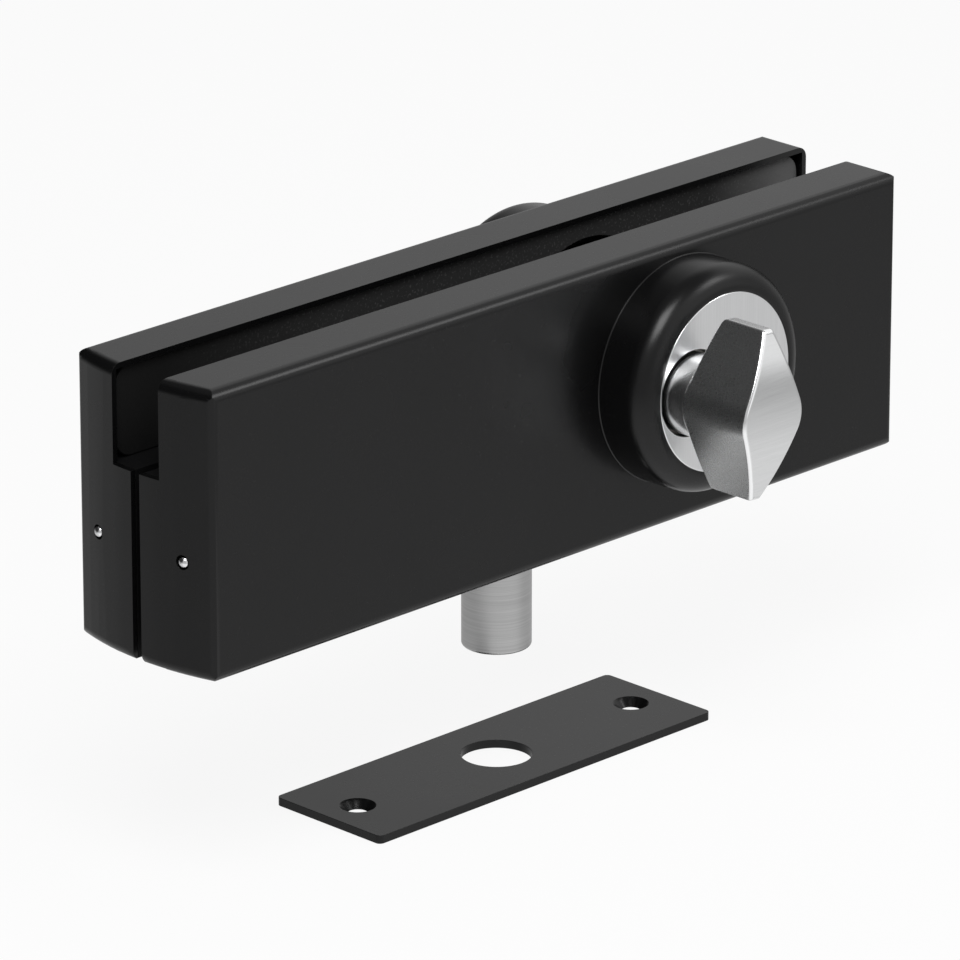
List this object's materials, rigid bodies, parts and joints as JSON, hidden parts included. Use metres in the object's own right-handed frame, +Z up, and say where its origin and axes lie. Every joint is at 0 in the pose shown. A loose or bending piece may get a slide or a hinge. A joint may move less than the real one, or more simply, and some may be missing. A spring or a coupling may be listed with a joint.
{
  "type": "glass door patch lock",
  "caption": "Patch lock for the bottom corner of a frameless glass door: two black covers on a clamped slot, profile cylinder with thumbturn, a dead bolt thrown down, and a floor strike plate.",
  "frame": {"origin": "on the axis of the bolt, at the floor of the glass slot, where the edge of the glass rests", "axes": "+X along the door from the rounded end to the flat end, +Y through the door towards the key side, +Z up into the glass"},
  "size_m": [0.1647, 0.0712, 0.0906],
  "materials": {
    "black_coat": "satin black powder coat on steel sheet",
    "clamp_casting": "dark coated zinc casting",
    "gasket": "dull dark fibre-filled rubber",
    "screw_steel": "plain zinc plated screws",
    "satin_steel": "fine brushed stainless steel",
    "cylinder_nickel": "satin nickel plated brass",
    "pin_brass": "turned brass",
    "spring_steel": "dark spring steel",
    "case_steel": "zinc plated steel"
  },
  "bodies": {
    "lock_body": {"front_cover": "black_coat", "back_cover": "black_coat", "front_clamp_body": "clamp_casting", "back_clamp_body": "clamp_casting", "front_gasket": "gasket", "back_gasket": "gasket", "clamp_screws": "screw_steel", "cover_catches": "screw_steel", "front_rosette": "black_coat", "back_rosette": "black_coat", "front_disc": "satin_steel", "back_disc": "satin_steel", "cylinder_body": "cylinder_nickel", "cylinder_screw": "screw_steel", "chamber_plugs": "pin_brass", "pin_springs": "spring_steel", "driver_pins": "pin_brass", "bolt_guide": "pin_brass", "lock_case": "case_steel", "case_cover": "case_steel", "case_screws": "screw_steel", "brake_spring": "spring_steel"},
    "turn": {"thumbturn": "satin_steel", "turn_grub_screw": "screw_steel", "turn_plug": "cylinder_nickel", "turn_circlip": "spring_steel", "clutch": "case_steel", "cam": "case_steel"},
    "key_side": {"key_plug": "cylinder_nickel", "key_pins": "pin_brass", "key_circlip": "spring_steel"},
    "bolt_group": {"bolt": "satin_steel", "bolt_carriage": "case_steel", "bolt_pin": "case_steel"},
    "strike": {"strike_plate": "black_coat"}
  },
  "joints": [
    {"name": "turn_spin", "type": "hinge", "parent": "lock_body", "child": "turn", "pos_m": [0.0201, 0, -0.0054], "axis": [0, 1, 0], "range_deg": [0, 84]},
    {"name": "bolt_throw", "type": "slide", "parent": "lock_body", "child": "bolt_group", "axis": [0, 0, 1], "range_m": [0, 0.019]},
    {"name": "key_spin", "type": "hinge", "parent": "lock_body", "child": "key_side", "pos_m": [0.0201, 0, -0.0054], "axis": [0, 1, 0], "range_deg": [0, 360]},
    {"name": "strike_set", "type": "slide", "parent": "lock_body", "child": "strike", "axis": [0, 0, 1], "range_m": [0, 0.031]}
  ],
  "couplings": [
    {"joint": "turn_spin", "follows": "bolt_throw", "rad_per_m": 77.15}
  ]
}
